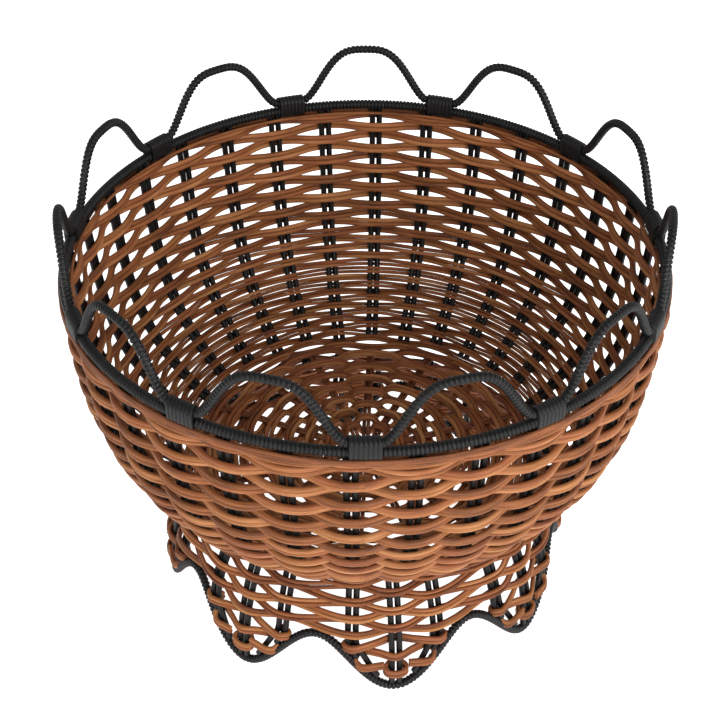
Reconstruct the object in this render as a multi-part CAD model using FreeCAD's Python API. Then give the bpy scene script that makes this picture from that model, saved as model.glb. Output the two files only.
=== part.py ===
import FreeCAD, Part
import math
import os
from FreeCAD import Vector

# Round woven fruit basket: an open bowl of rattan strands on black uprights, a wrapped hoop with a
# scalloped rod tied on top of it, and a flared woven foot whose lower edge is a second wavy rod.
# Millimetres, +Z up. The origin is on the surface that it stands on, under the bowl's centre.
# Angles turn about Z from the front (-Y) towards +X.

os.makedirs("parts", exist_ok=True)

# ---- driving dimensions -------------------------------------------------------------------
rim_radius = 165.0          # centreline of the hoop
bowl_depth = 143.5          # hoop's centreline down to the middle of the woven base
base_radius = 101.6         # where the wall's uprights reach the base
wall_lean = 0.10            # how far the upper wall leans in, per millimetre down
foot_height = 79.0          # surface up to the middle of the woven base
foot_rim_radius = 118.9     # foot's radius at the surface
foot_neck_radius = 98.0     # foot's radius under the base
arch_height = 37.0          # how far the foot's lower rod rises between two lobes

core_diameter = 4.4         # bare hoop under its wrapping
wave_core_diameter = 3.6    # bare scalloped rods under their wrapping
wrap_thickness = 0.75       # flat strip wound round a rod
stake_diameter = 3.6        # one black upright; they stand in pairs
stake_spacing = 4.4         # between the centres of a pair
wall_strand = 3.05          # thickest weaving strand of the wall
foot_strand = 2.5           # weaving strand of the foot
base_strand = 2.6           # weaving strand of the base
spoke_diameter = 2.4
border_strand = 2.0         # strands packed under the hoop

scallops = 11               # waves of the rim's upper rod, and ties
scallop_height = 32.5       # from a tie to a crest
scallop_lean = 0.02         # how far a crest leans in, per millimetre of rise
tie_length = 17.2           # along the hoop
tie_thickness = 0.9         # flat lashing strip, two turns thick
border_height = 6.0
wall_stakes = 32            # pairs
wall_phase = -2.33          # degrees from the front to the first pair
wall_rows = 28
first_row_distance = 14.1   # hoop's centreline down to the first row, along the wall
open_pitch = 7.34           # between rows at the top
close_pitch = 4.55          # between rows near the base
pitch_step = 0.16           # each row is this much closer than the one above
base_arms = 16              # radial pairs of spokes
base_rings = 13

lobes = 8
lobe_phase = 8.8            # degrees from the front to a lobe's middle
side_angle = 12.3           # degrees from a lobe's middle to its side pairs
bend_height = 36.0          # below it a side pair bends to the lobe's middle
bend_rate = 0.253           # degrees per millimetre
foot_rows = 7
foot_first_row = 6.8        # middle of the base down to the foot's first row
foot_pitch = 5.1
foot_row_lift = 3.4         # how far the lowest full row rises between lobes
lobe_rows = {               # height, degrees to either side of the lobe's middle, outside at the middle
    "upper": (34.2, 14.4, False),
    "middle": (27.2, 11.0, True),
    "lower": (14.6, 2.9, True),
}
clearance = 0.3             # between strands and what they pass
gap = 0.15                  # between things that rest on each other

# ---- sizes that follow ---------------------------------------------------------------------
hoop_radius = core_diameter / 2 + wrap_thickness
wave_radius = wave_core_diameter / 2 + wrap_thickness
hoop_height = foot_height + bowl_depth
trough_height = hoop_radius + wave_radius + gap
stake_radius = stake_diameter / 2
spoke_radius = spoke_diameter / 2
belly_inset = rim_radius - wall_lean * bowl_depth - base_radius
BELLY_POWER = 4             # how late the wall curves in
FOOT_POWER = 2.4            # how early the foot flares
CREST_FULLNESS = 1.8        # how early the scalloped rod reaches its crest
TIED_SHARE = 0.45           # of a tie's length, to either side, where the rod lies flat
STEPPED = 2.5               # how squarely a ring of the base steps over its spokes
ROUNDED = 1.2               # the same for a row of the wall or foot round its stakes
SAMPLES_PER_WAVE = 8
RING_SAMPLES = 32
SIDES = 12                  # of a drawn rod
STEP = 0.05                 # millimetres, for walking down the wall
FOOT_STEP = 2.0             # millimetres, for walking down the foot


def save(name, solids):
    """One STEP file for a node, from one solid or a group of separate ones."""
    solids = solids if isinstance(solids, list) else [solids]
    for solid in solids:
        if not solid.isValid() or solid.Volume <= 0:
            raise ValueError("%s has a faulty solid" % name)
    shape = solids[0] if len(solids) == 1 else Part.makeCompound(solids)
    shape.exportStep("parts/%s.step" % name)
    print("%-26s %3d solid(s) %9.0f mm3" % (name, len(solids), sum(s.Volume for s in solids)))


def spot(radius, height, angle):
    """A point by radius, height and angle in degrees from the front."""
    turn = math.radians(angle)
    return Vector(radius * math.sin(turn), -radius * math.cos(turn), height)


def turned(solid, angle):
    copy = solid.copy()
    copy.rotate(Vector(0, 0, 0), Vector(0, 0, 1), angle)
    return copy


def copies(solids, count):
    """The same solids repeated evenly round the axis."""
    return [turned(s, 360.0 * i / count) for i in range(count) for s in solids]


def closed_edge(points):
    curve = Part.BSplineCurve()
    curve.interpolate(Points=points, PeriodicFlag=True)
    return curve.toShape()


def open_edge(points):
    curve = Part.BSplineCurve()
    curve.interpolate(points)
    return curve.toShape()


def solid_of(faces):
    shell = Part.makeShell(faces)
    shell.sewShape()
    solid = Part.makeSolid(shell)
    if solid.Volume < 0:
        solid.reverse()
    return solid


def ring(place, corners, samples):
    """A closed ring. place(angle, along, out) gives a point; corners are its section's (along, out)."""
    angles = [360.0 * i / samples for i in range(samples)]
    edges = [closed_edge([place(a, along, out) for a in angles]) for along, out in corners]
    pairs = zip(edges, edges[1:] + edges[:1])
    return solid_of([Part.makeRuledSurface(one, other) for one, other in pairs])


def strip(place, corners, stations):
    """An open length of the same section, with flat ends."""
    edges = [open_edge([place(s, along, out) for s in stations]) for along, out in corners]
    faces = [Part.makeRuledSurface(one, other) for one, other in zip(edges, edges[1:] + edges[:1])]
    for end in (stations[0], stations[-1]):
        outline = [place(end, along, out) for along, out in corners]
        faces.append(Part.Face(Part.makePolygon(outline + outline[:1])))
    return solid_of(faces)


def rod(points, radius, facing):
    """A rod of flat sides along an open path; facing is a direction roughly square to the path."""
    before, after = points[:1] + points[:-1], points[1:] + points[-1:]

    def place(station, along, out):
        run = after[station] - before[station]
        across = run.cross(facing)
        across.normalize()
        away = across.cross(run)
        away.normalize()
        return points[station] + away * out + across * along

    return strip(place, many_sided(radius), range(len(points)))


def block(height, thickness):
    """Corners of an upright section: along the wall, and out from it."""
    h, t = height / 2, thickness / 2
    return [(-h, -t), (h, -t), (h, t), (-h, t)]


def many_sided(radius):
    steps = [2 * math.pi * i / SIDES for i in range(SIDES)]
    return [(radius * math.sin(s), radius * math.cos(s)) for s in steps]


# ---- the wall's line -----------------------------------------------------------------------
def wall_radius(depth):
    return rim_radius - wall_lean * depth - belly_inset * (depth / bowl_depth) ** BELLY_POWER


def wall_slope(depth):
    """Change of radius per millimetre down."""
    return -wall_lean - BELLY_POWER * belly_inset * (depth / bowl_depth) ** (BELLY_POWER - 1) / bowl_depth


def foot_radius(height):
    share = height / foot_height
    return foot_rim_radius - (foot_rim_radius - foot_neck_radius) * share ** FOOT_POWER


def foot_slope(height):
    """Change of radius per millimetre down."""
    drop = foot_rim_radius - foot_neck_radius
    return FOOT_POWER * drop * (height / foot_height) ** (FOOT_POWER - 1) / foot_height


def depth_along(distance):
    """Depth under the hoop after walking that distance down the wall."""
    depth = walked = 0.0
    while walked < distance:
        walked += STEP * math.hypot(1, wall_slope(depth))
        depth += STEP
    return depth


def leaning(radius, height, slope, wave=None):
    """place() for a section at one point of a wall that leans: along runs down it, out away from it."""
    length = math.hypot(1, slope)
    down = (slope / length, -1 / length)
    away = (1 / length, slope / length)

    def place(angle, along, out):
        out += wave(angle) if wave else 0
        r = radius + along * down[0] + out * away[0]
        z = height + along * down[1] + out * away[1]
        return spot(r, z, angle)

    return place


def flattened(wave, flatness):
    """A wave between -1 and 1 with its tops and bottoms drawn out."""
    return math.tanh(flatness * wave) / math.tanh(flatness)


def passing(stakes, phase, reach, flatness, first_outside):
    """How far out a strand is where it passes outside one pair of stakes and inside the next."""
    sign = 1 if first_outside else -1

    def wave(angle):
        return sign * reach * flattened(math.cos(math.radians((angle - phase) * stakes / 2)), flatness)

    return wave


# ---- rim: hoop, scalloped rod, ties ---------------------------------------------------------
def hoop(radius):
    return Part.makeTorus(rim_radius, radius, Vector(0, 0, hoop_height))


def scallop_rise(angle):
    """Height of the scalloped rod over its lowest stretch, which lies flat under each tie."""
    step = 360.0 / scallops
    off = abs((angle + step / 2) % step - step / 2)
    flat = math.degrees(tie_length * TIED_SHARE / rim_radius)
    share = max(0.0, off - flat) / (step / 2 - flat)
    climbed = 1 - (1 - share) ** CREST_FULLNESS
    return scallop_height * (1 - math.cos(math.pi * climbed)) / 2


def scallop_line(angle):
    lean = scallop_lean * scallop_rise(angle)
    return spot(rim_radius - lean, hoop_height + trough_height + scallop_rise(angle), angle)


def foot_line(angle):
    rise = arch_height * (1 - math.cos(math.radians(lobes * (angle - lobe_phase)))) / 2
    return spot(foot_radius(wave_radius + rise), wave_radius + rise, angle)


def around(line):
    """place() for a section square to a closed line."""

    def place(angle, along, out):
        run = line(angle + 0.05) - line(angle - 0.05)
        run.normalize()
        outward = spot(1, 0, angle)
        outward = outward - run * outward.dot(run)
        outward.normalize()
        return line(angle) + outward * out + run.cross(outward) * along

    return place


def wavy_rod(line, waves, radius):
    return ring(around(line), many_sided(radius), waves * 2 * SAMPLES_PER_WAVE)


def wrapped(outer, inner):
    """The tube of wound strip between two nested closed surfaces."""
    hollow = inner.Shells[0].copy()
    hollow.reverse()
    return Part.makeSolid(Part.makeCompound([outer.Shells[0], hollow]))


def tie():
    """One lashing: an oval sleeve round the hoop and the scalloped rod."""
    top_middle = hoop_height + trough_height + wave_radius - hoop_radius

    def oval(half):
        """Filled, with its straight sides that far from the hoop's centreline."""
        start = -tie_length / 2
        a, b = [Vector(start, -rim_radius - half, z) for z in (hoop_height, top_middle)]
        c, d = [Vector(start, half - rim_radius, z) for z in (top_middle, hoop_height)]
        top = Part.Arc(b, Vector(start, -rim_radius, top_middle + half), c)
        bottom = Part.Arc(d, Vector(start, -rim_radius, hoop_height - half), a)
        sides = [Part.makeLine(a, b), top.toShape(), Part.makeLine(c, d), bottom.toShape()]
        return Part.Face(Part.Wire(sides)).extrude(Vector(tie_length, 0, 0))

    inside = hoop_radius + clearance
    return oval(inside + tie_thickness).cut(oval(inside))


save("rim_hoop_core", hoop(core_diameter / 2 - gap))
save("rim_hoop_wrapping", hoop(hoop_radius).cut(hoop(core_diameter / 2)))
scallop_core = wavy_rod(scallop_line, scallops, wave_core_diameter / 2 - gap)
save("scallop_rod_core", scallop_core)
scallop_skin = [wavy_rod(scallop_line, scallops, r) for r in (wave_radius, wave_core_diameter / 2)]
save("scallop_rod_wrapping", wrapped(*scallop_skin))
save("rim_ties", copies([tie()], scallops))

# ---- bowl: uprights, border, wall rows ------------------------------------------------------
stake_top = hoop_radius + tie_thickness + 2 * clearance
stake_run = bowl_depth - stake_diameter - stake_top
stake_depths = [stake_top + stake_run * i / SAMPLES_PER_WAVE for i in range(SAMPLES_PER_WAVE + 1)]


def beside(points, side):
    """A path moved half the spacing of a pair; side is -1 or 1."""
    return [p + Vector(side * stake_spacing / 2, 0, 0) for p in points]


wall_path = [spot(wall_radius(d), hoop_height - d, 0) for d in stake_depths]
wall_pair = [rod(beside(wall_path, side), stake_radius, Vector(1, 0, 0)) for side in (-1, 1)]
save("bowl_stakes", [turned(s, wall_phase) for s in copies(wall_pair, wall_stakes)])

border_middle = stake_top + border_height / 2
border_place = leaning(wall_radius(border_middle), hoop_height - border_middle, wall_slope(border_middle))
border_out = stake_radius + clearance + border_strand / 2
border = []
for side in (-1, 1):
    section = [(along, out + side * border_out) for along, out in block(border_height, border_strand)]
    border.append(ring(border_place, section, RING_SAMPLES))
save("rim_border_strands", border)

distance = first_row_distance
for row in range(wall_rows):
    pitch = max(close_pitch, open_pitch - pitch_step * row)
    strand = min(wall_strand, (pitch - gap) / 2)
    depth = depth_along(distance)
    reach = stake_radius + clearance + strand / 2
    weave = passing(wall_stakes, wall_phase, reach, ROUNDED, row % 2 == 1)
    place = leaning(wall_radius(depth), hoop_height - depth, wall_slope(depth), weave)
    samples = wall_stakes // 2 * SAMPLES_PER_WAVE
    save("wall_weave_%02d" % (row + 1), ring(place, block(2 * strand, strand), samples))
    distance += pitch
print("last wall row at depth %.1f of %.1f" % (depth, bowl_depth))

# ---- base: two layers of spokes that cross, and flat rings of weaving -----------------------
base_edge = wall_radius(bowl_depth) - stake_radius - base_strand / 2 - clearance
spoke_pitch = spoke_diameter + gap
arm_step = 360.0 / base_arms
quarter = base_arms // 4
cross_half = quarter * spoke_pitch
fan_start = 1.8 * cross_half
arm_reaches = (fan_start, 1.3 * fan_start, (fan_start + base_edge) / 2, base_edge)


def spoke(index, side, layer):
    """One rod right across the base: straight in the middle cross, fanned out at both ends."""
    turn = (index - (quarter - 1) / 2) * arm_step
    across = (2 * index + (1 + side) / 2 - (2 * quarter - 1) / 2) * spoke_pitch
    height = foot_height + layer * spoke_pitch / 2
    sideways = spot(side * spoke_pitch / 2, 0, turn + 90)
    arm = [spot(reach, foot_height, turn) + sideways for reach in arm_reaches]
    front = arm[::-1] + [Vector(across, -cross_half, height), Vector(across, 0, height)]
    back = [Vector(p.x, -p.y, p.z) for p in front[-2::-1]]
    return rod(front + back, spoke_radius, Vector(0, 0, 1))


def spoke_layer(layer):
    return [spoke(i, side, layer) for i in range(quarter) for side in (-1, 1)]


base_turn = wall_phase + arm_step / 2
save("base_spokes_lower", [turned(s, base_turn) for s in spoke_layer(-1)])
save("base_spokes_upper", [turned(s, base_turn + 90) for s in spoke_layer(1)])

ring_start = fan_start + 1.5 * spoke_diameter
ring_pitch = (base_edge - base_strand - ring_start) / (base_rings - 1)
ring_width = min(2 * base_strand, ring_pitch - gap)
base_reach = spoke_radius + clearance + base_strand / 2


def base_ring(index):
    over = passing(base_arms, base_turn + arm_step / 2, base_reach, STEPPED, index % 2 == 0)
    radius = ring_start + ring_pitch * index

    def place(angle, along, out):
        return spot(radius + along, foot_height + out + over(angle), angle)

    return ring(place, block(ring_width, base_strand), base_arms * SAMPLES_PER_WAVE)


third = base_rings // 3
for name, first, last in (("inner", 0, third), ("middle", third, 2 * third), ("outer", 2 * third, base_rings)):
    save("base_weave_" + name, [base_ring(i) for i in range(first, last)])

# ---- foot: wavy lower rod, three pairs of uprights to a lobe, weaving -----------------------
foot_core = wavy_rod(foot_line, lobes, wave_core_diameter / 2 - gap)
save("foot_rod_core", foot_core)
foot_skin = [wavy_rod(foot_line, lobes, r) for r in (wave_radius, wave_core_diameter / 2)]
save("foot_rod_wrapping", wrapped(*foot_skin))

lobe_step = 360.0 / lobes
foot_top = foot_height - base_reach - base_strand / 2 - gap


def side_pair_at(height):
    """Degrees from a lobe's middle to its side pairs, which bend to it low down."""
    return side_angle - max(0.0, bend_height - height) * bend_rate


def to_rod(point):
    """Distance from a point to the foot's lower rod, near the front lobe."""
    return min((foot_line(lobe_phase + a / 4) - point).Length for a in range(-90, 91))


def foot_stake(across, side):
    """One black rod of the foot, from under the base down until it meets the lower rod."""
    points = []
    height = foot_top
    while height > wave_radius:
        radius = foot_radius(height)
        shift = math.degrees(side * stake_spacing / 2 / radius)
        point = spot(radius, height, lobe_phase + across * side_pair_at(height) + shift)
        if to_rod(point) < wave_radius + stake_radius + gap:
            break
        points.append(point)
        height -= FOOT_STEP
    every = points[:-1:SAMPLES_PER_WAVE // 2] + points[-1:]
    return rod(every, stake_radius, spot(1, 0, lobe_phase))


lobe_pairs = [foot_stake(across, side) for across in (-1, 0, 1) for side in (-1, 1)]
save("foot_stakes", copies(lobe_pairs, lobes))

foot_reach = stake_radius + clearance + foot_strand / 2


def foot_wave(angle):
    """Plain weaving round every pair of the foot, 1 outside and -1 inside; the first lobe's middle is 1."""
    lobe = round((angle - lobe_phase) / lobe_step)
    off = abs(angle - lobe_phase - lobe * lobe_step)
    sign = -1 if lobe % 2 else 1
    if off <= side_angle:
        return sign * flattened(math.cos(math.pi * off / side_angle), ROUNDED)
    return -sign * math.cos(math.pi / 2 * (off - side_angle) / (lobe_step / 2 - side_angle))


def foot_row(row):
    height = foot_height - foot_first_row - foot_pitch * row
    slope = foot_slope(height)
    reach = foot_reach * math.hypot(1, slope) * (1 if row % 2 else -1)

    def place(angle, along, out):
        out += reach * foot_wave(angle)
        valley = (1 - math.cos(math.radians(lobes * (angle - lobe_phase)))) / 2
        rise = foot_row_lift * row / (foot_rows - 1) * valley
        return spot(foot_radius(height) + along * slope + out, height + rise - along, angle)

    return ring(place, block(2 * foot_strand - gap, foot_strand), lobes * 2 * SAMPLES_PER_WAVE)


for row in range(foot_rows):
    save("foot_weave_%d" % (row + 1), foot_row(row))


def lobe_strand(height, half_angle, outside_middle):
    """A doubled strand that turns back inside one lobe."""
    sign = 1 if outside_middle else -1

    def place(angle, along, out):
        swing = math.cos(math.pi * (angle - lobe_phase) / side_pair_at(height))
        out += sign * foot_reach * flattened(swing, ROUNDED)
        return spot(foot_radius(height) + out, height - along, angle)

    steps = [lobe_phase + half_angle * (i / SAMPLES_PER_WAVE - 1) for i in range(2 * SAMPLES_PER_WAVE + 1)]
    return strip(place, block(2 * foot_strand - gap, foot_strand), steps)


for name, (height, half_angle, outside) in lobe_rows.items():
    save("foot_lobe_strands_" + name, copies([lobe_strand(height, half_angle, outside)], lobes))
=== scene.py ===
# %% [markdown]
# # A woven fruit basket
# This lesson dresses a plain solid model of a basket in real strands. The basket is an open bowl of rattan
# woven through black uprights, a wound hoop with a scalloped rod tied on top of it, and a flared foot. The
# solid model fixes every size, so the first step loads it.

import bmesh
import bpy
import numpy as np
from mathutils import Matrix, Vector


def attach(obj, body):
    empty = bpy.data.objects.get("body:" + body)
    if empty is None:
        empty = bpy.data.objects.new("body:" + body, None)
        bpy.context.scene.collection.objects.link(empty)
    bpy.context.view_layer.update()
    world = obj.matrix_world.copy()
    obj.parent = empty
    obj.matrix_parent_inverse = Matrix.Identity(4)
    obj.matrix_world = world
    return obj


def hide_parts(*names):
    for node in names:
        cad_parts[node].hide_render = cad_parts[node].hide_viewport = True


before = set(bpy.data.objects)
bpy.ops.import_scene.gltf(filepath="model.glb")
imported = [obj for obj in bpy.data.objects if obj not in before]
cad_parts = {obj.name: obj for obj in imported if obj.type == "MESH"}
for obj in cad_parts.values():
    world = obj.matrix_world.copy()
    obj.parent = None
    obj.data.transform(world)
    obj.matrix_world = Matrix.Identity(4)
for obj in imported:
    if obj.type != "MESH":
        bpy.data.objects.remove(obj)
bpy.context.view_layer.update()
print("frame loaded with", len(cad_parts), "nodes")

# %% [markdown]
# ## Places on a round basket
# Nearly everything here sits at a radius, a height and an angle about the upright axis. One function turns
# those three into points, so every later step can think like a weaver: how far round, how far up, how far
# out. Sizes are in millimetres and angles in degrees from the front; Blender itself works in metres.

# %% Points from radius, height and angle
MM = 0.001


def spot(radius, height, angle):
    turn = np.radians(angle)
    parts = np.broadcast_arrays(radius * np.sin(turn), -radius * np.cos(turn), height)
    return np.stack(parts, axis=-1) * MM


def all_round(count):
    """So many evenly spaced angles, once round."""
    return np.arange(count) * 360 / count


RIM_RADIUS = 165.0
BOWL_DEPTH = 143.5
FOOT_HEIGHT = 79.0
HOOP_HEIGHT = FOOT_HEIGHT + BOWL_DEPTH
print("hoop at", HOOP_HEIGHT, "mm, radius", RIM_RADIUS, "mm")

# %% [markdown]
# ## The bowl's outline
# The wall leans in a little all the way down and then curves in fast to meet the base. A high power of the
# depth gives that late curve. Rows are spaced by the distance walked down the wall, not by height, so the
# distance is added up in small steps and looked up from there.

# %% The wall's line
BASE_RADIUS = 101.6
WALL_LEAN = 0.10
BELLY = RIM_RADIUS - WALL_LEAN * BOWL_DEPTH - BASE_RADIUS
BELLY_POWER = 4
STEPS_DOWN = 3000


def wall_radius(depth):
    return RIM_RADIUS - WALL_LEAN * depth - BELLY * (depth / BOWL_DEPTH) ** BELLY_POWER


def wall_slope(depth):
    return -WALL_LEAN - BELLY_POWER * BELLY * (depth / BOWL_DEPTH) ** (BELLY_POWER - 1) / BOWL_DEPTH


steps_down = np.linspace(0, BOWL_DEPTH, STEPS_DOWN)
walked = np.concatenate([[0], np.cumsum(np.hypot(1, wall_slope(steps_down[1:])) * steps_down[1])])


def depth_at(distance):
    return np.interp(distance, walked, steps_down)


def on_wall(depth, along, out):
    """Radius and height of a point so far along (down) the wall and out from it."""
    slope = wall_slope(depth)
    length = np.hypot(1, slope)
    return (wall_radius(depth) + (along * slope + out) / length,
            HOOP_HEIGHT - depth + (out * slope - along) / length)


print("wall is %.0f mm long from hoop to base" % walked[-1])

# %% [markdown]
# ## One helper for nodes
# Materials and Geometry Nodes are both graphs of nodes. This helper adds one node with its settings and
# plugs a value or another node's output into each named input, which keeps the graphs short enough to read.

# %% Add a node
def add(tree, kind, inputs=None, **settings):
    made = tree.nodes.new(kind)
    for name, value in settings.items():
        setattr(made, name, value)
    for socket, value in (inputs or {}).items():
        if isinstance(value, bpy.types.NodeSocket):
            tree.links.new(value, made.inputs[socket])
        else:
            made.inputs[socket].default_value = value
    return made


def colour(hex_code):
    """A linear colour from an sRGB hex value."""
    parts = [int(hex_code[i:i + 2], 16) / 255 for i in (0, 2, 4)]
    return [p / 12.92 if p <= 0.04045 else ((p + 0.055) / 1.055) ** 2.4 for p in parts] + [1.0]


print("warm strand colour in linear values:", [round(c, 3) for c in colour("B97A4C")])

# %% [markdown]
# ## Rattan strands
# The strands are peeled rattan core, dyed and oiled: a soft cane drawn through a round die. Its pores run
# lengthwise, so the grain is long thin streaks, and every strand comes from another cane, so neighbours
# differ in tone, and a little in hue. The pattern follows each strand: "round" says where on the strand's
# section a point is, "run" how far along it, and "tone" is one random number for each strand. Streaks are
# about 0.6 mm wide and 20 mm long, with finer pores between them. The sheen is the satin of oil on wood,
# with an index of refraction of 1.5.

# %% Material: oiled rattan core
def rattan(name, dark, middle, light, roughness):
    material = bpy.data.materials.new(name)
    material.use_nodes = True
    tree = material.node_tree
    shader = tree.nodes["Principled BSDF"]
    section = add(tree, "ShaderNodeAttribute", attribute_name="round").outputs["Vector"]
    run = add(tree, "ShaderNodeAttribute", attribute_name="run").outputs["Fac"]
    tone = add(tree, "ShaderNodeAttribute", attribute_name="tone").outputs["Fac"]
    shifted = add(tree, "ShaderNodeMath", {0: tone, 1: 61.0, 2: 0.0}, operation="MULTIPLY_ADD")
    lengthwise = add(tree, "ShaderNodeMath", {0: run, 1: 22.0, 2: shifted.outputs[0]},
                     operation="MULTIPLY_ADD")
    placed = add(tree, "ShaderNodeCombineXYZ", {"Z": lengthwise.outputs[0]})
    along = add(tree, "ShaderNodeVectorMath", {0: section, 1: placed.outputs[0]}, operation="ADD")
    streaks = add(tree, "ShaderNodeTexNoise",
                  {"Vector": along.outputs[0], "Scale": 2.3, "Detail": 4.0, "Roughness": 0.6})
    pores = add(tree, "ShaderNodeTexNoise",
                {"Vector": along.outputs[0], "Scale": 9.0, "Detail": 2.0, "Roughness": 0.5})
    bands = add(tree, "ShaderNodeMath", {0: run, 1: 38.0, 2: shifted.outputs[0]},
                operation="MULTIPLY_ADD")
    patches = add(tree, "ShaderNodeTexNoise", {"W": bands.outputs[0], "Scale": 1.0, "Detail": 1.0},
                  noise_dimensions="1D")
    spread = add(tree, "ShaderNodeMath", {0: tone, 1: 0.36, 2: -0.18}, operation="MULTIPLY_ADD")
    patchy = add(tree, "ShaderNodeMath", {0: patches.outputs["Fac"], 1: 0.30, 2: spread.outputs[0]},
                 operation="MULTIPLY_ADD")
    fine = add(tree, "ShaderNodeMath", {0: pores.outputs["Fac"], 1: 0.4, 2: patchy.outputs[0]},
               operation="MULTIPLY_ADD")
    depth = add(tree, "ShaderNodeMath", {0: streaks.outputs["Fac"], 1: 0.7, 2: fine.outputs[0]},
                operation="MULTIPLY_ADD")
    ramp = add(tree, "ShaderNodeValToRGB", {"Fac": depth.outputs[0]})
    stops = ramp.color_ramp.elements
    stops[0].position, stops[0].color = 0.42, colour(dark)
    stops[1].position, stops[1].color = 0.98, colour(light)
    stops.new(0.7).color = colour(middle)
    many = add(tree, "ShaderNodeMath", {0: tone, 1: 7.0}, operation="MULTIPLY")
    batch = add(tree, "ShaderNodeMath", {0: many.outputs[0]}, operation="FRACT")
    golden = add(tree, "ShaderNodeMath", {0: batch.outputs[0], 1: 0.008, 2: 0.4945},
                 operation="MULTIPLY_ADD")
    dyed = add(tree, "ShaderNodeHueSaturation", {"Color": ramp.outputs["Color"], "Hue": golden.outputs[0]})
    tree.links.new(dyed.outputs["Color"], shader.inputs["Base Color"])
    rough = add(tree, "ShaderNodeMath", {0: streaks.outputs["Fac"], 1: -0.2, 2: roughness + 0.1},
                operation="MULTIPLY_ADD")
    tree.links.new(rough.outputs[0], shader.inputs["Roughness"])
    raised = add(tree, "ShaderNodeMath", {0: streaks.outputs["Fac"], 1: pores.outputs["Fac"]},
                 operation="ADD")
    bump = add(tree, "ShaderNodeBump",
               {"Height": raised.outputs[0], "Strength": 0.55, "Distance": 0.25 * MM})
    tree.links.new(bump.outputs[0], shader.inputs["Normal"])
    shader.inputs["IOR"].default_value = 1.5
    shader.inputs["Specular IOR Level"].default_value = 0.25
    return material


oiled_rattan = rattan("oiled rattan core", "56301C", "91572F", "B67F50", 0.58)
spoke_rattan = rattan("dark oiled rattan rod", "3E2114", "6F3F24", "9A6540", 0.55)
print("materials:", oiled_rattan.name, "and", spoke_rattan.name)

# %% [markdown]
# ## Black rods and black wound strip
# The uprights are smooth rods of black-dyed rattan under satin lacquer. The strip round the hoop and the
# wavy rods is flat black synthetic cane, extruded and wound on, so it has fine lines along the strip, which
# means round the rod. Both are dark but not pure black: the lacquer lifts the edges to a soft grey. Where
# two turns of strip meet, the colour is darkened further: painted shade in the groove.

# %% Material: satin lacquered black
def lacquered(name, dark, light, roughness, stretch, height):
    material = bpy.data.materials.new(name)
    material.use_nodes = True
    tree = material.node_tree
    shader = tree.nodes["Principled BSDF"]
    section = add(tree, "ShaderNodeAttribute", attribute_name="round").outputs["Vector"]
    run = add(tree, "ShaderNodeAttribute", attribute_name="run").outputs["Fac"]
    tone = add(tree, "ShaderNodeAttribute", attribute_name="tone").outputs["Fac"]
    lengthwise = add(tree, "ShaderNodeMath", {0: run, 1: stretch[1]}, operation="MULTIPLY")
    placed = add(tree, "ShaderNodeCombineXYZ", {"X": tone, "Z": lengthwise.outputs[0]})
    along = add(tree, "ShaderNodeVectorMath", {0: section, 1: [stretch[0]] * 3, 2: placed.outputs[0]},
                operation="MULTIPLY_ADD")
    lines = add(tree, "ShaderNodeTexNoise", {"Vector": along.outputs[0], "Scale": 1.0, "Detail": 3.0})
    shade = add(tree, "ShaderNodeMath", {0: tone, 1: 0.5, 2: lines.outputs["Fac"]},
                operation="MULTIPLY_ADD")
    # The groove value darkens the colour where two turns of strip meet: painted shade in the groove.
    groove_and_shade = add(tree, "ShaderNodeAttribute", attribute_name="groove_and_shade").outputs["Fac"]
    shade = add(tree, "ShaderNodeMath", {0: groove_and_shade, 1: -1.1, 2: shade.outputs[0]}, operation="MULTIPLY_ADD")
    ramp = add(tree, "ShaderNodeValToRGB", {"Fac": shade.outputs[0]})
    stops = ramp.color_ramp.elements
    stops[0].position, stops[0].color = 0.2, colour(dark)
    stops[1].position, stops[1].color = 0.9, colour(light)
    tree.links.new(ramp.outputs["Color"], shader.inputs["Base Color"])
    rough = add(tree, "ShaderNodeMath", {0: lines.outputs["Fac"], 1: 0.25, 2: roughness - 0.12},
                operation="MULTIPLY_ADD")
    tree.links.new(rough.outputs[0], shader.inputs["Roughness"])
    bump = add(tree, "ShaderNodeBump",
               {"Height": lines.outputs["Fac"], "Strength": 0.5, "Distance": height * MM})
    tree.links.new(bump.outputs[0], shader.inputs["Normal"])
    shader.inputs["IOR"].default_value = 1.5
    shader.inputs["Specular IOR Level"].default_value = 0.25
    return material


black_rod = lacquered("black lacquered rattan rod", "030202", "0F0D0C", 0.45, (2.5, 60.0), 0.12)
black_strip = lacquered("black extruded cane strip", "020202", "181616", 0.5, (1.2, 2600.0), 0.08)
print("materials:", black_rod.name, "and", black_strip.name)

# %% [markdown]
# ## A path that becomes a strand
# Each strand follows a path, so the paths are worked out first, as bare lines of points, and one Geometry
# Nodes tree gives them all their body. It turns the lines into curves, shakes them by a fraction of a
# millimetre so that no two lie alike, sweeps a round section along them, and stores the three values that
# the materials read. A line carries its own thickness, so one tree serves fine and coarse strands.

# %% Lines of points
def lines_object(name, paths, thickness, closed):
    """A mesh of loose edges, one chain for each path, with the thickness stored at each point."""
    mesh = bpy.data.meshes.new(name)
    edges, start = [], 0
    for path in paths:
        last = start + len(path) - 1
        edges += [(i, i + 1) for i in range(start, last)]
        edges += [(last, start)] if closed else []
        start = last + 1
    mesh.from_pydata(np.concatenate(paths).tolist(), edges, [])
    thick = np.concatenate([np.full(len(p), t * MM) for p, t in zip(paths, thickness)])
    mesh.attributes.new("thick", "FLOAT", "POINT").data.foreach_set("value", thick)
    lines = bpy.data.objects.new(name, mesh)
    bpy.context.collection.objects.link(lines)
    return lines


# %% A tree with named inputs
def new_tree(name, sizes):
    tree = bpy.data.node_groups.new(name, "GeometryNodeTree")
    tree.interface.new_socket("Geometry", in_out="INPUT", socket_type="NodeSocketGeometry")
    for label, kind in sizes:
        tree.interface.new_socket(label, in_out="INPUT", socket_type="NodeSocket" + kind)
    tree.interface.new_socket("Geometry", in_out="OUTPUT", socket_type="NodeSocketGeometry")
    return tree, add(tree, "NodeGroupInput").outputs


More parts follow.
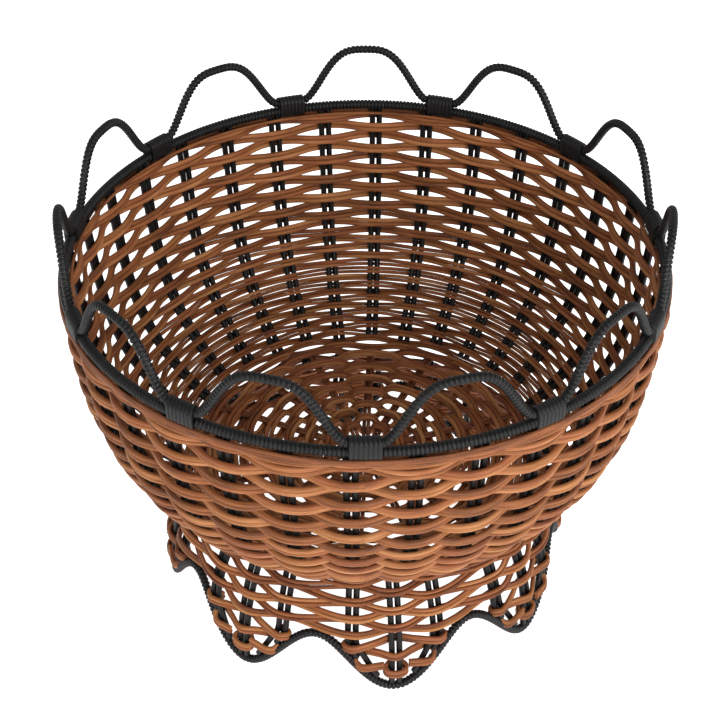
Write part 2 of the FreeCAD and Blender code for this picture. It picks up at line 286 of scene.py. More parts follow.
def stored(tree, geometry, name, kind, value):
    node = add(tree, "GeometryNodeStoreNamedAttribute", {"Geometry": geometry, "Name": name},
               data_type=kind, domain="POINT")
    tree.links.new(value, node.inputs["Value"])
    return node.outputs["Geometry"]


def closing(tree, geometry, material):
    """Every tree ends the same way: real geometry, smooth shading, a material."""
    real = add(tree, "GeometryNodeRealizeInstances", {"Geometry": geometry})
    smooth = add(tree, "GeometryNodeSetShadeSmooth", {"Geometry": real.outputs[0]})
    dressed = add(tree, "GeometryNodeSetMaterial", {"Geometry": smooth.outputs[0], "Material": material})
    add(tree, "NodeGroupOutput", {"Geometry": dressed.outputs[0]})


# %% The tree that makes strands
strand_tree, given = new_tree("strand along a line", [
    ("Sides", "Int"), ("Wobble", "Float"), ("Wobble Length", "Float"), ("Seed", "Int"),
    ("Material", "Material")])
curve = add(strand_tree, "GeometryNodeMeshToCurve", {"Mesh": given["Geometry"]}).outputs[0]
which = add(strand_tree, "GeometryNodeCurveOfPoint").outputs["Curve Index"]
chance = add(strand_tree, "FunctionNodeRandomValue", {"ID": which, "Seed": given["Seed"]},
             data_type="FLOAT")
tone_value = chance.outputs[1]
place = add(strand_tree, "GeometryNodeInputPosition").outputs[0]
per_metre = add(strand_tree, "ShaderNodeMath", {0: 1.0, 1: given["Wobble Length"]}, operation="DIVIDE")
drift = add(strand_tree, "ShaderNodeMath", {0: tone_value, 1: 80.0}, operation="MULTIPLY")
shake = add(strand_tree, "ShaderNodeTexNoise",
            {"Vector": place, "W": drift.outputs[0], "Scale": per_metre.outputs[0], "Detail": 1.0},
            noise_dimensions="4D")
centred = add(strand_tree, "ShaderNodeVectorMath", {0: shake.outputs["Color"], 1: [0.5] * 3},
              operation="SUBTRACT")
shift = add(strand_tree, "ShaderNodeVectorMath", {0: centred.outputs[0], "Scale": given["Wobble"]},
            operation="SCALE")
shaken = add(strand_tree, "GeometryNodeSetPosition", {"Geometry": curve, "Offset": shift.outputs[0]})
thick = add(strand_tree, "GeometryNodeInputNamedAttribute", {"Name": "thick"}, data_type="FLOAT").outputs[0]
half = add(strand_tree, "ShaderNodeMath", {0: thick, 1: 0.5}, operation="MULTIPLY")
length = add(strand_tree, "GeometryNodeSplineParameter").outputs["Length"]
path = stored(strand_tree, shaken.outputs[0], "run", "FLOAT", length)
path = stored(strand_tree, path, "tone", "FLOAT", tone_value)
circle = add(strand_tree, "GeometryNodeCurvePrimitiveCircle", {"Resolution": given["Sides"], "Radius": 1.0})
section = stored(strand_tree, circle.outputs[0], "round", "FLOAT_VECTOR", place)
body = add(strand_tree, "GeometryNodeCurveToMesh",
           {"Curve": path, "Profile Curve": section, "Scale": half.outputs[0], "Fill Caps": True})
closing(strand_tree, body.outputs[0], given["Material"])
print("strand tree has", len(strand_tree.nodes), "nodes")


# %% Turn a tree's result into a finished piece
def facing_out(mesh):
    """Closed shells hold a positive volume when their faces point outwards."""
    shape = bmesh.new()
    shape.from_mesh(mesh)
    if shape.calc_volume(signed=True) < 0:
        bmesh.ops.reverse_faces(shape, faces=shape.faces)
        shape.to_mesh(mesh)
    shape.free()


def piece_from(name, source, tree, **inputs):
    modifier = source.modifiers.new(name, "NODES")
    modifier.node_group = tree
    for item in tree.interface.items_tree:
        if item.in_out == "INPUT" and item.name in inputs:
            modifier[item.identifier] = inputs[item.name]
    ready = source.evaluated_get(bpy.context.evaluated_depsgraph_get())
    mesh = bpy.data.meshes.new_from_object(ready)
    bpy.data.objects.remove(source)
    facing_out(mesh)
    piece = bpy.data.objects.new(name, mesh)
    bpy.context.collection.objects.link(piece)
    print("%-24s %6d triangles" % (name, sum(len(p.vertices) - 2 for p in mesh.polygons)))
    return piece


def fitted(piece, finish, *nodes):
    """The piece rides on the basket and stands for these solids, which are hidden; finish is not used."""
    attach(piece, "root")
    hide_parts(*nodes)


WOBBLE_LENGTH = 35


def strands(name, paths, thickness, closed, material, sides=8, wobble=0.3, seed=1):
    source = lines_object(name, paths, thickness, closed)
    return piece_from(name, source, strand_tree, **{
        "Sides": sides, "Wobble": wobble * MM, "Wobble Length": WOBBLE_LENGTH * MM, "Seed": seed,
        "Material": material})


# %% [markdown]
# ## The bowl's uprights
# Thirty-two pairs of black rods run from the hoop down to the base. They could be instanced from one rod,
# but real ones are never quite alike, so each gets its own line and its own small wobble.

# %% Uprights of the bowl
PAIRS = 32
PAIR_PHASE = -2.33
ROD = 3.6
ROD_SPACING = 4.4
ROD_TOP = 2.2
ROD_POINTS = 26
rod_depths = np.linspace(ROD_TOP, BOWL_DEPTH - ROD, ROD_POINTS)
rods = []
for pair in range(PAIRS):
    for side in (-1, 1):
        radius = wall_radius(rod_depths)
        swing = np.degrees(side * ROD_SPACING / 2 / radius)
        rods.append(spot(radius, HOOP_HEIGHT - rod_depths, PAIR_PHASE + 360 / PAIRS * pair + swing))
uprights = strands("bowl_uprights", rods, [ROD] * len(rods), False, black_rod,
                   sides=12, wobble=0.35, seed=3)
fitted(uprights, "black_stake", "bowl_stakes")

# %% [markdown]
# ## The woven wall
# Each row is a doubled strand that passes outside one pair and inside the next, and the next row does the
# opposite. A cosine whose period is two pairs describes that, flattened a little at its crests, because a
# strand lies flat against the rods that it passes. Rows start about 7 mm apart under the rim and close up
# to 4.5 mm near the base, where the strands get finer too.

# %% Rows of the wall
ROWS = 28
FIRST_ROW = 14.1
OPEN_PITCH = 7.34
CLOSE_PITCH = 4.55
PITCH_STEP = 0.16
THICKEST = 3.05
SIDE_GAP = 0.12
CLEAR = 0.3
FLATNESS = 0.7
turns_round = all_round(PAIRS * 12)
weave = np.cos(np.radians((turns_round - PAIR_PHASE) * PAIRS / 2))
weave = np.tanh(FLATNESS * weave) / np.tanh(FLATNESS)


def wall_row(distance, strand, sign):
    depth = depth_at(distance)
    reach = sign * (ROD / 2 + CLEAR + strand / 2)
    return [spot(*on_wall(depth, edge * strand / 2, reach * weave), turns_round) for edge in (-1, 1)]


row_paths, row_sizes = [], []
distance = FIRST_ROW
for row in range(ROWS):
    pitch = max(CLOSE_PITCH, OPEN_PITCH - PITCH_STEP * row)
    strand = min(THICKEST, pitch / 2 - SIDE_GAP)
    row_paths.append(wall_row(distance, strand, -1 if row % 2 == 0 else 1))
    row_sizes.append(strand)
    distance += pitch
print("strands from %.2f mm at the rim to %.2f mm at the base" % (row_sizes[0], row_sizes[-1]))

# %% Four bands of the wall
BAND_ROWS = ROWS // 4
for band, label in enumerate(("top", "upper", "lower", "bottom")):
    members = range(band * BAND_ROWS, (band + 1) * BAND_ROWS)
    paths = [path for row in members for path in row_paths[row]]
    sizes = [row_sizes[row] for row in members for _ in (0, 1)]
    wall = strands("wall_weave_" + label, paths, sizes, True, oiled_rattan, wobble=0.7, seed=20 + band)
    fitted(wall, "rattan", *["wall_weave_%02d" % (row + 1) for row in members])

# %% [markdown]
# ## Strands packed under the hoop
# A border of finer strands fills the space under the hoop. One doubled strand still weaves in and out, and
# a single one lies along the inside. The other four run along the outside: they crowd together above the
# woven one where it comes out, and fan apart where it goes in. Their height is therefore mixed between a
# crowded and a fanned place by the same wave.

# %% Border under the hoop
FINE = 1.9
WOVEN = 2.4
WOVEN_PLACE = 7.9
INNER_DEPTH = 4.6
outside_share = (1 + weave) / 2
border_paths = wall_row(WOVEN_PLACE, WOVEN, 1)
border_sizes = [WOVEN, WOVEN]
for crowded, fanned, extra in ((3.7, 3.9, 0.5), (4.5, 5.7, 0.9), (5.3, 7.5, 0.6), (6.0, 9.2, 0.3)):
    depth = crowded * outside_share + fanned * (1 - outside_share)
    out = ROD / 2 + FINE / 2 + CLEAR * (1 - outside_share) + extra * outside_share
    border_paths.append(spot(*on_wall(depth, 0, out), turns_round))
    border_sizes.append(FINE)
border_paths.append(spot(*on_wall(INNER_DEPTH, 0, -ROD / 2 - FINE / 2 - CLEAR), turns_round))
border_sizes.append(FINE)
border = strands("rim_border", border_paths, border_sizes, True, oiled_rattan, wobble=0.5, seed=31)
fitted(border, "rattan", "rim_border_strands")

# %% [markdown]
# ## Wound strip
# A wrapped rod is a flat strip wound edge to edge. Modelling the strip itself as a long helix would be
# heavy and hard to keep flat, so the rod's skin carries the turns instead: its rings are spaced eight to a
# turn, the radius sinks sharply where two turns meet, and each ring leans a little, as a wound strip does.
# The same groove value is also stored for the material, which darkens the colour there as painted shade.

# %% The tree that makes wound rods
RINGS_PER_TURN = 8
wound_tree, given = new_tree("wound strip along a line", [
    ("Turns", "Int"), ("Sides", "Int"), ("Groove", "Float"), ("Slant", "Float"), ("Seed", "Int"),
    ("Material", "Material")])
curve = add(wound_tree, "GeometryNodeMeshToCurve", {"Mesh": given["Geometry"]}).outputs[0]
rings = add(wound_tree, "ShaderNodeMath", {0: given["Turns"], 1: RINGS_PER_TURN},
            operation="MULTIPLY").outputs[0]
curve = add(wound_tree, "GeometryNodeResampleCurve", {"Curve": curve, "Count": rings}).outputs[0]
index = add(wound_tree, "GeometryNodeInputIndex").outputs[0]
turn = add(wound_tree, "ShaderNodeMath", {0: index, 1: RINGS_PER_TURN}, operation="DIVIDE").outputs[0]
share = add(wound_tree, "ShaderNodeMath", {0: turn}, operation="FRACT").outputs[0]
centred = add(wound_tree, "ShaderNodeMath", {0: share, 1: 2.0, 2: -1.0},
              operation="MULTIPLY_ADD").outputs[0]
squared = add(wound_tree, "ShaderNodeMath", {0: centred, 1: centred}, operation="MULTIPLY").outputs[0]
groove_and_shade = add(wound_tree, "ShaderNodeMath", {0: squared, 1: squared}, operation="MULTIPLY").outputs[0]
sunk = add(wound_tree, "ShaderNodeMath", {0: groove_and_shade, 1: given["Groove"]}, operation="MULTIPLY").outputs[0]
thick = add(wound_tree, "GeometryNodeInputNamedAttribute", {"Name": "thick"}, data_type="FLOAT").outputs[0]
half = add(wound_tree, "ShaderNodeMath", {0: thick, 1: 0.5}, operation="MULTIPLY").outputs[0]
radius = add(wound_tree, "ShaderNodeMath", {0: half, 1: sunk}, operation="SUBTRACT").outputs[0]
whole = add(wound_tree, "ShaderNodeMath", {0: turn}, operation="FLOOR").outputs[0]
chance = add(wound_tree, "FunctionNodeRandomValue", {"ID": whole, "Seed": given["Seed"]},
             data_type="FLOAT")
heading = add(wound_tree, "GeometryNodeInputTangent").outputs[0]
length = add(wound_tree, "GeometryNodeSplineParameter").outputs["Length"]
place = add(wound_tree, "GeometryNodeInputPosition").outputs[0]
path = stored(wound_tree, curve, "run", "FLOAT", length)
path = stored(wound_tree, path, "tone", "FLOAT", chance.outputs[1])
# The groove value is stored for the material too, which darkens the colour there as painted shade.
path = stored(wound_tree, path, "groove_and_shade", "FLOAT", groove_and_shade)
path = stored(wound_tree, path, "heading", "FLOAT_VECTOR", heading)
circle = add(wound_tree, "GeometryNodeCurvePrimitiveCircle", {"Resolution": given["Sides"], "Radius": 1.0})
section = stored(wound_tree, circle.outputs[0], "round", "FLOAT_VECTOR", place)
body = add(wound_tree, "GeometryNodeCurveToMesh",
           {"Curve": path, "Profile Curve": section, "Scale": radius, "Fill Caps": True})
lean = add(wound_tree, "GeometryNodeInputNamedAttribute", {"Name": "round"}, data_type="FLOAT_VECTOR")
across = add(wound_tree, "ShaderNodeSeparateXYZ", {0: lean.outputs[0]}).outputs["Y"]
amount = add(wound_tree, "ShaderNodeMath", {0: across, 1: given["Slant"]}, operation="MULTIPLY").outputs[0]
headed = add(wound_tree, "GeometryNodeInputNamedAttribute", {"Name": "heading"},
             data_type="FLOAT_VECTOR")
push = add(wound_tree, "ShaderNodeVectorMath", {0: headed.outputs[0], "Scale": amount}, operation="SCALE")
leaned = add(wound_tree, "GeometryNodeSetPosition",
             {"Geometry": body.outputs[0], "Offset": push.outputs[0]})
closing(wound_tree, leaned.outputs[0], given["Material"])
print("winding tree has", len(wound_tree.nodes), "nodes")


# %% Wind a rod
GROOVE = 0.8
SLANT = 0.25


def wound_rod(name, line, diameter, pitch, sides, seed):
    length = np.linalg.norm(np.roll(line, -1, axis=0) - line, axis=1).sum() / MM
    turns = int(round(length / pitch))
    source = lines_object(name, [line], [diameter], True)
    print("%s: %.0f mm long, %d turns" % (name, length, turns))
    return piece_from(name, source, wound_tree, **{
        "Turns": turns, "Sides": sides, "Groove": GROOVE * MM, "Slant": SLANT * MM, "Seed": seed,
        "Material": black_strip})


# %% [markdown]
# ## Hoop, scalloped rod and foot rod
# The hoop is a plain circle. The rod above it lies flat under each of eleven ties and rises to a crest
# between them, and the foot's lower rod is a gentler wave of eight lobes that follows the foot's flare.

# %% The hoop
HOOP = 5.9
HOOP_STRIP = 2.2
round_hoop = spot(RIM_RADIUS, HOOP_HEIGHT, all_round(720))
hoop = wound_rod("wound_hoop", round_hoop, HOOP, HOOP_STRIP, 12, 41)
fitted(hoop, "black_wrap", "rim_hoop_wrapping")

# %% The scalloped rod
SCALLOPS = 11
TIE_LENGTH = 17.2
SCALLOP_HEIGHT = 33.2
SCALLOP_LEAN = 0.02
CREST_FULLNESS = 1.65
TIED_SHARE = 0.45
WOUND = 5.1
WOUND_STRIP = 2.5
ROD_GAP = 0.15
TROUGH = HOOP / 2 + WOUND / 2 + ROD_GAP
scallop_angles = all_round(SCALLOPS * 96)
scallop_step = 360 / SCALLOPS
off = np.abs((scallop_angles + scallop_step / 2) % scallop_step - scallop_step / 2)
flat = np.degrees(TIE_LENGTH * TIED_SHARE / RIM_RADIUS)
climb = 1 - (1 - np.maximum(0, off - flat) / (scallop_step / 2 - flat)) ** CREST_FULLNESS
rise = SCALLOP_HEIGHT * (1 - np.cos(np.pi * climb)) / 2
scallop_line = spot(RIM_RADIUS - SCALLOP_LEAN * rise, HOOP_HEIGHT + TROUGH + rise, scallop_angles)
scallop_rod = wound_rod("wound_scallop_rod", scallop_line, WOUND, WOUND_STRIP, 10, 42)
fitted(scallop_rod, "black_wrap", "scallop_rod_wrapping")

# %% The foot's outline and its lower rod
LOBES = 8
LOBE_STEP = 360 / LOBES
LOBE_PHASE = 8.8
ARCH_HEIGHT = 37.0
FOOT_RIM_RADIUS = 118.9
FOOT_FLARE = 20.9
FOOT_POWER = 2.4


def foot_radius(height):
    return FOOT_RIM_RADIUS - FOOT_FLARE * (height / FOOT_HEIGHT) ** FOOT_POWER


def foot_slope(height):
    """How much further out the foot stands, for each millimetre down."""
    return FOOT_POWER * FOOT_FLARE * (height / FOOT_HEIGHT) ** (FOOT_POWER - 1) / FOOT_HEIGHT


foot_angles = all_round(LOBES * 96)
foot_arches = (1 - np.cos(np.radians(LOBES * (foot_angles - LOBE_PHASE)))) / 2
foot_heights = WOUND / 2 + ARCH_HEIGHT * foot_arches
foot_line = spot(foot_radius(foot_heights), foot_heights, foot_angles)
foot_rod = wound_rod("wound_foot_rod", foot_line, WOUND, WOUND_STRIP, 10, 43)
fitted(foot_rod, "black_wrap", "foot_rod_wrapping")

# %% [markdown]
# ## Ties
# Eleven short lashings hold the two rods together: flat strip wound seven times round both. One tie is
# built as a skin with a groove between its turns, like the wound rods but with an oval section, and the
# groove value darkens its colour there as painted shade. Geometry Nodes turn copies of it about the
# basket's axis, each with a tone of its own.

# %% One tie
TIE_TURNS = 7
tie_places = np.linspace(0, 1, TIE_TURNS * RINGS_PER_TURN + 1)
grooves_and_shade = (2 * (tie_places * TIE_TURNS % 1) - 1) ** 4
grooves_and_shade[0] = grooves_and_shade[-1] = 1
oval = np.linspace(0, 2 * np.pi, 28, endpoint=False)
TIE_TOP = TROUGH + WOUND / 2 - HOOP / 2
TIE_STRIP = 1.15
TIE_GROOVE = 0.5
TIE_ENDS = 1.2
TIE_SLANT = 0.6
tie_rings = []
for place_along, groove_and_shade in zip(tie_places, grooves_and_shade):
    half_width = HOOP / 2 + TIE_STRIP - TIE_GROOVE * groove_and_shade
    lift = np.where(np.cos(oval) > 0, TIE_TOP, 0.0)
    slanted = (place_along - 0.5) * (TIE_LENGTH - TIE_ENDS) + TIE_SLANT * np.sin(oval)
    tie_rings.append(spot(RIM_RADIUS + half_width * np.sin(oval),
                          HOOP_HEIGHT + lift + half_width * np.cos(oval),
                          np.degrees(slanted / RIM_RADIUS)))
tie_rings = np.array(tie_rings)
print("tie is %.1f mm long with %d turns" % (TIE_LENGTH, TIE_TURNS))


# %% A skin over rings
def skin(name, rings):
    """Quads between rings of points, closed round each ring, with a cap at both ends."""
    count, sides = rings.shape[:2]
    ids = np.arange(count * sides).reshape(count, sides)
    quads = [(ids[r, s], ids[r, (s + 1) % sides], ids[r + 1, (s + 1) % sides], ids[r + 1, s])
             for r in range(count - 1) for s in range(sides)]
    mesh = bpy.data.meshes.new(name)
    mesh.from_pydata(rings.reshape(-1, 3).tolist(), [], quads + [tuple(ids[0, ::-1]), tuple(ids[-1])])
    section = np.stack([np.sin(oval), np.cos(oval), 0 * oval], axis=-1)
    everywhere = np.tile(section, (count, 1)).ravel()
    mesh.attributes.new("round", "FLOAT_VECTOR", "POINT").data.foreach_set("vector", everywhere)
    run = np.repeat(tie_places * TIE_LENGTH * MM, sides)
    mesh.attributes.new("run", "FLOAT", "POINT").data.foreach_set("value", run)
    # The groove value goes to the material too, which darkens the colour there as painted shade.
    mesh.attributes.new("groove_and_shade", "FLOAT", "POINT").data.foreach_set("value", np.repeat(grooves_and_shade, sides))
    made = bpy.data.objects.new(name, mesh)
    bpy.context.collection.objects.link(made)
    return made


# %% The tree that turns copies about the axis
copies_tree, given = new_tree("copies round the basket", [
    ("Copies", "Int"), ("Step", "Float"), ("Seed", "Int"), ("Material", "Material")])
points = add(copies_tree, "GeometryNodePoints", {"Count": given["Copies"]}).outputs[0]
index = add(copies_tree, "GeometryNodeInputIndex").outputs[0]
angle = add(copies_tree, "ShaderNodeMath", {0: index, 1: given["Step"]}, operation="MULTIPLY").outputs[0]
spin = add(copies_tree, "ShaderNodeCombineXYZ", {"Z": angle}).outputs[0]
placed = add(copies_tree, "GeometryNodeInstanceOnPoints",
             {"Points": points, "Instance": given["Geometry"], "Rotation": spin}).outputs[0]
chance = add(copies_tree, "FunctionNodeRandomValue", {"ID": index, "Seed": given["Seed"]},
             data_type="FLOAT")
toned = add(copies_tree, "GeometryNodeStoreNamedAttribute",
            {"Geometry": placed, "Name": "tone"}, data_type="FLOAT", domain="INSTANCE")
copies_tree.links.new(chance.outputs[1], toned.inputs["Value"])
closing(copies_tree, toned.outputs[0], given["Material"])
print("copying tree has", len(copies_tree.nodes), "nodes")

# %% All the ties
ties = piece_from("rim_lashings", skin("tie", tie_rings), copies_tree, **{
    "Copies": SCALLOPS, "Step": np.radians(scallop_step), "Seed": 5, "Material": black_strip})
fitted(ties, "black_wrap", "rim_ties")

# %% [markdown]
# ## The base
# Sixteen brown rods cross the base: eight lie side by side in a lower layer and eight in an upper one, and
# outside the crossing their ends fan out as sixteen pairs. Rings of doubled strand weave over and under the
# pairs. A rod's line is a handful of places joined smoothly, which a Catmull-Rom curve does.

# %% Smooth lines through a few places
def smooth(places, per_span=6):
    places = np.asarray(places, dtype=float)
    padded = np.concatenate([[2 * places[0] - places[1]], places, [2 * places[-1] - places[-2]]])
    line = []
    for before, here, there, after in zip(padded, padded[1:], padded[2:], padded[3:]):
        for t in np.linspace(0, 1, per_span, endpoint=False):
            line.append(0.5 * (2 * here + (there - before) * t
                               + (2 * before - 5 * here + 4 * there - after) * t ** 2
                               + (3 * here - before - 3 * there + after) * t ** 3))
    return np.array(line + [places[-1]])


# %% Spokes
ARMS = 16
ARM_STEP = 360 / ARMS
SPOKE = 2.4
SPOKE_PITCH = SPOKE + ROD_GAP
CROSS = 4 * SPOKE_PITCH
FAN = 1.8 * CROSS
BASE_STRAND = 2.6
BASE_EDGE = BASE_RADIUS - ROD / 2 - BASE_STRAND / 2 - CLEAR
BASE_TURN = PAIR_PHASE + ARM_STEP / 2


def spoke(number, side, layer, turned):
    """The rod on one side (-1 or 1) of pair 0 to 3, in the lower (-1) or upper (1) layer."""
    toward = np.radians((number - 1.5) * ARM_STEP)
    aim = np.array([np.sin(toward), -np.cos(toward), 0])
    beside = np.array([np.cos(toward), np.sin(toward), 0]) * side * SPOKE_PITCH / 2
    front = [aim * reach + beside for reach in (BASE_EDGE, (FAN + BASE_EDGE) / 2, 1.3 * FAN, FAN)]
    across = (2 * number + (1 + side) / 2 - 3.5) * SPOKE_PITCH
    lift = layer * SPOKE_PITCH / 2
    middle = [np.array([across, -CROSS, lift]), np.array([across, 0, lift])]
    back = [p * [1, -1, 1] for p in (front + middle)[-2::-1]]
    line = smooth(front + middle + back) + [0, 0, FOOT_HEIGHT]
    c, s = np.cos(np.radians(turned)), np.sin(np.radians(turned))
    return line @ np.array([[c, s, 0], [-s, c, 0], [0, 0, 1]]) * MM


for layer, turned, label in ((-1, BASE_TURN, "lower"), (1, BASE_TURN + 90, "upper")):
    lines = [spoke(number, side, layer, turned) for number in range(4) for side in (-1, 1)]
    spokes = strands("base_rods_" + label, lines, [SPOKE] * len(lines), False, spoke_rattan,
                     sides=10, wobble=0.25, seed=50 + layer)
    fitted(spokes, "spoke_rattan", "base_spokes_" + label)

# %% Rings of the base
RINGS = 13
RING_STRAND = 3.0
SQUARENESS = 2.5
first_ring = FAN + 1.5 * SPOKE
ring_pitch = (BASE_EDGE - first_ring) / (RINGS - 1)
ring_angles = all_round(ARMS * 12)
over = np.cos(np.radians((ring_angles - BASE_TURN - ARM_STEP / 2) * ARMS / 2))
stepped = np.tanh(SQUARENESS * over) / np.tanh(SQUARENESS) * (SPOKE / 2 + CLEAR + BASE_STRAND / 2)
for label, first, last in (("inner", 0, 4), ("middle", 4, 8), ("outer", 8, RINGS)):
    lines = [spot(first_ring + ring_pitch * number + edge * RING_STRAND / 2,
                  FOOT_HEIGHT + stepped * (1 if number % 2 == 0 else -1), ring_angles)
             for number in range(first, last) for edge in (-1, 1)]
    rings = strands("base_weave_rings_" + label, lines, [RING_STRAND] * len(lines), True, oiled_rattan,
                    wobble=0.5, seed=60 + first)
    fitted(rings, "rattan", "base_weave_" + label)

# %% [markdown]
# ## The foot
# Three pairs of black rods stand in each lobe. The middle pair is straight, and the side pairs bend towards
# it near the ground until they meet the wavy rod. Seven doubled strands weave right round. Below them a
# lobe is too narrow to weave through, so three more turn back inside it. Each of those is a short list of
# places from one end to the lobe's middle, which is smoothed and mirrored.

# %% Uprights of the foot
SIDE_ANGLE = 12.3
BEND_HEIGHT = 36.0
BEND_RATE = 0.253
FOOT_TOP = FOOT_HEIGHT - 4.2
ROD_SINKS = 0.6
near = np.abs((foot_angles - LOBE_PHASE + 180) % 360 - 180) < LOBE_STEP / 2 + 1.5


def side_pair_at(height):
    return SIDE_ANGLE - np.maximum(0, BEND_HEIGHT - height) * BEND_RATE


foot_rods = []
for across in (-1, 0, 1):
    for side in (-1, 1):
        heights = np.arange(FOOT_TOP, WOUND / 2, -1.0)
        radius = foot_radius(heights)
        angles = LOBE_PHASE + across * side_pair_at(heights) + np.degrees(side * ROD_SPACING / 2 / radius)
        line = spot(radius, heights, angles)
        gaps = np.linalg.norm(line[:, None] - foot_line[near][None], axis=2).min(axis=1) / MM
        stop = np.argmax(gaps < WOUND / 2 + ROD / 2 - ROD_SINKS)
        keep = np.append(np.arange(0, stop, 4), stop)
        foot_rods += [spot(radius[keep], heights[keep], angles[keep] + LOBE_STEP * lobe)
                      for lobe in range(LOBES)]
legs = strands("foot_uprights", foot_rods, [ROD] * len(foot_rods), False, black_rod, sides=12, seed=71)
fitted(legs, "black_stake", "foot_stakes")

# %% Rows of the foot
FOOT_ROWS = 7
FOOT_FIRST_ROW = 6.8
FOOT_PITCH = 5.1
ROW_LIFT = 3.4
FOOT_STRAND = 2.4
FOOT_REACH = ROD / 2 + CLEAR + FOOT_STRAND / 2
row_angles = all_round(LOBES * 36)
lobe_number = np.round((row_angles - LOBE_PHASE) / LOBE_STEP)
from_middle = np.abs(row_angles - LOBE_PHASE - lobe_number * LOBE_STEP)
turn_sign = np.where(lobe_number % 2 == 0, 1, -1)
between = -np.cos(np.pi / 2 * (from_middle - SIDE_ANGLE) / (LOBE_STEP / 2 - SIDE_ANGLE))
within = np.cos(np.pi * from_middle / SIDE_ANGLE)
foot_weave = turn_sign * np.where(from_middle <= SIDE_ANGLE, within, between)
valley = (1 - np.cos(np.radians(LOBES * (row_angles - LOBE_PHASE)))) / 2
foot_paths = []
for row in range(FOOT_ROWS):
    height = FOOT_HEIGHT - FOOT_FIRST_ROW - FOOT_PITCH * row
    out = FOOT_REACH * foot_weave * (1 if row % 2 else -1)
    for edge in (-1, 1):
        along = edge * FOOT_STRAND / 2
        foot_paths.append(spot(foot_radius(height) + along * foot_slope(height) + out,
                               height + ROW_LIFT * row / (FOOT_ROWS - 1) * valley - along, row_angles))
foot_rows = strands("foot_weave", foot_paths, [FOOT_STRAND] * len(foot_paths), True, oiled_rattan,
                    seed=72)
fitted(foot_rows, "rattan", *["foot_weave_%d" % (row + 1) for row in range(FOOT_ROWS)])


# %% Strands that turn back in a lobe
LOBE_STRAND = 2.75


def turned_back(places):
    """Copies in every lobe of doubled lines through (angle from the middle, height, out) places."""
    line = smooth(places)
    paths = []
    for edge in (-1, 1):
        height = line[:, 1] + edge * LOBE_STRAND / 2
        radius = foot_radius(line[:, 1]) + line[:, 2]
        paths += [spot(radius, height, LOBE_PHASE + LOBE_STEP * lobe + line[:, 0]) for lobe in range(LOBES)]
    return paths


def mirrored(places):
    """A line that is given from one end to the lobe's middle, with its other half added."""
    return places + [(-angle, height, out) for angle, height, out in places[-2::-1]]


REACH = ROD / 2 + CLEAR + LOBE_STRAND / 2
upper = mirrored([(-10.6, 33.9, -REACH), (-13.4, 33.4, -REACH * 0.8), (-14.6, 33.6, 0),
                  (-13.2, 34.0, REACH * 0.8), (-11.4, 34.2, REACH), (-5.7, 35.2, 0), (0, 35.6, -REACH)])
middle = mirrored([(-3.4, 22.4, REACH), (-5.6, 21.8, REACH), (-8.4, 20.9, REACH),
                   (-10.2, 21.2, REACH * 0.7), (-11.2, 23.6, 0), (-10.4, 26.6, -REACH * 0.8),
                   (-9.2, 27.6, -REACH), (-4.6, 28.4, 0), (0, 27.8, REACH)])
lower = mirrored([(-1.4, 17.4, -REACH), (-2.9, 16.2, -0.6), (-2.4, 15.2, REACH * 0.7), (0, 14.6, REACH)])
for label, places in (("upper", upper), ("middle", middle), ("lower", lower)):
    lines = turned_back(places)
    turned = strands("foot_turned_" + label, lines, [LOBE_STRAND] * len(lines), False, oiled_rattan,
                     seed=80)
    fitted(turned, "rattan", "foot_lobe_strands_" + label)

# %% [markdown]
# ## Bare rods inside the wrapping
# The solid model's own hoop and wavy rods stay inside their wrapping, out of sight. They are plain drawn
# wire with a thin black paint, so they get a dark, slightly uneven paint finish.

# %% Material: painted wire
painted_wire = bpy.data.materials.new("painted drawn wire")
painted_wire.use_nodes = True
wire_tree = painted_wire.node_tree
wire_shader = wire_tree.nodes["Principled BSDF"]
where = add(wire_tree, "ShaderNodeTexCoord").outputs["Object"]
uneven = add(wire_tree, "ShaderNodeTexNoise", {"Vector": where, "Scale": 700.0, "Detail": 2.0})
paint = add(wire_tree, "ShaderNodeValToRGB", {"Fac": uneven.outputs["Fac"]})
paint.color_ramp.elements[0].color = colour("141414")
paint.color_ramp.elements[1].color = colour("262626")
wire_tree.links.new(paint.outputs[0], wire_shader.inputs["Base Color"])
wire_shader.inputs["Roughness"].default_value = 0.5
for name in ("rim_hoop_core", "scallop_rod_core", "foot_rod_core"):
    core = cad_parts[name]
    core.data.materials.clear()
    core.data.materials.append(painted_wire)
    print(name, "painted")

# %% [markdown]
# ## Floor, light and camera
# The basket stands on a plain white floor in even studio light, with one large soft light from the front
# right. A white sky, a little dimmer overhead than near the horizon, fills the shadows, so the inside of
# the bowl stays readable. The floor gives out light too, which keeps it an even white.

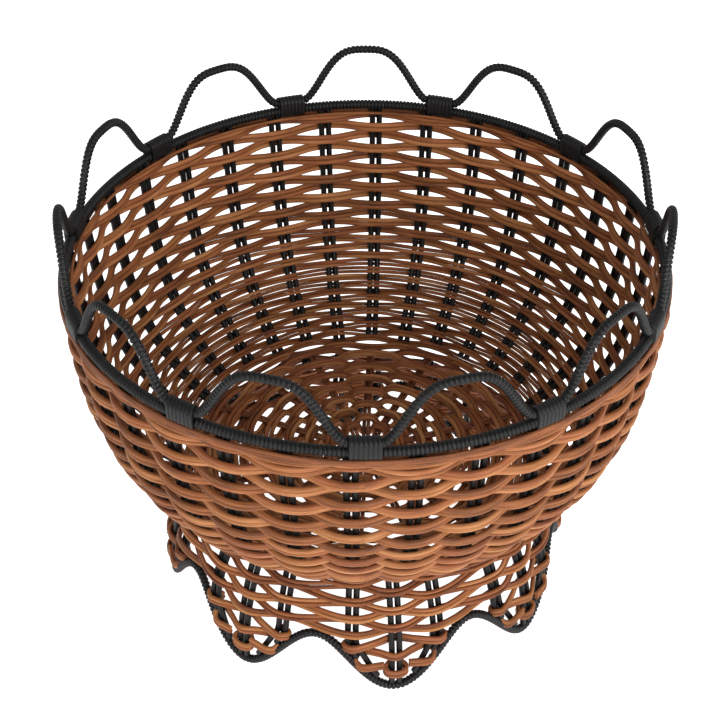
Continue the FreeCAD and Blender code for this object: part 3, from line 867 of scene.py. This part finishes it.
# %% Floor
floor_mesh = bpy.data.meshes.new("floor")
FLOOR_HALF = 6.0
floor_corners = [(x * FLOOR_HALF, y * FLOOR_HALF, 0) for x, y in ((-1, -1), (1, -1), (1, 1), (-1, 1))]
floor_mesh.from_pydata(floor_corners, [], [(0, 1, 2, 3)])
floor = bpy.data.objects.new("floor", floor_mesh)
bpy.context.collection.objects.link(floor)
white = bpy.data.materials.new("matte white floor")
white.use_nodes = True
white_shader = white.node_tree.nodes["Principled BSDF"]
white_shader.inputs["Base Color"].default_value = (0.9, 0.9, 0.9, 1)
white_shader.inputs["Roughness"].default_value = 0.9
white_shader.inputs["Specular IOR Level"].default_value = 0.0
white_shader.inputs["Emission Color"].default_value = (1, 1, 1, 1)
white_shader.inputs["Emission Strength"].default_value = 0.95
floor_mesh.materials.append(white)
print("floor is", 2 * FLOOR_HALF, "m wide")

# %% Light
scene = bpy.context.scene
scene.view_settings.view_transform = "Standard"
sky = bpy.data.worlds.new("studio")
sky.use_nodes = True
sky_tree = sky.node_tree
heading = add(sky_tree, "ShaderNodeTexCoord").outputs["Generated"]
upward = add(sky_tree, "ShaderNodeSeparateXYZ", {0: heading}).outputs["Z"]
strength = add(sky_tree, "ShaderNodeMapRange", {"Value": upward, "To Min": 0.7, "To Max": 0.56})
sky_tree.links.new(strength.outputs[0], sky_tree.nodes["Background"].inputs["Strength"])
sky_tree.nodes["Background"].inputs["Color"].default_value = (1, 1, 1, 1)
scene.world = sky


def soft_light(name, place, aim, size, power):
    lamp = bpy.data.lights.new(name, "AREA")
    lamp.size = size
    lamp.energy = power
    holder = bpy.data.objects.new(name, lamp)
    holder.location = place
    holder.rotation_euler = (Vector(aim) - Vector(place)).to_track_quat("-Z", "Y").to_euler()
    bpy.context.collection.objects.link(holder)
    print(name, "of", power, "W")


soft_light("front right light", (0.9, -1.9, 0.95), (0, 0, 0.1), 1.0, 37)

# %% Camera
lens = bpy.data.cameras.new("camera")
lens.lens = 87
lens.sensor_width = 36
camera = bpy.data.objects.new("camera", lens)
camera.location = (0, -0.7908, 0.7712)
camera.rotation_euler = np.radians([51.78, 0, 0.2]).tolist()
bpy.context.collection.objects.link(camera)
scene.camera = camera
print("camera is %.2f m from the floor's middle" % np.linalg.norm(camera.location))
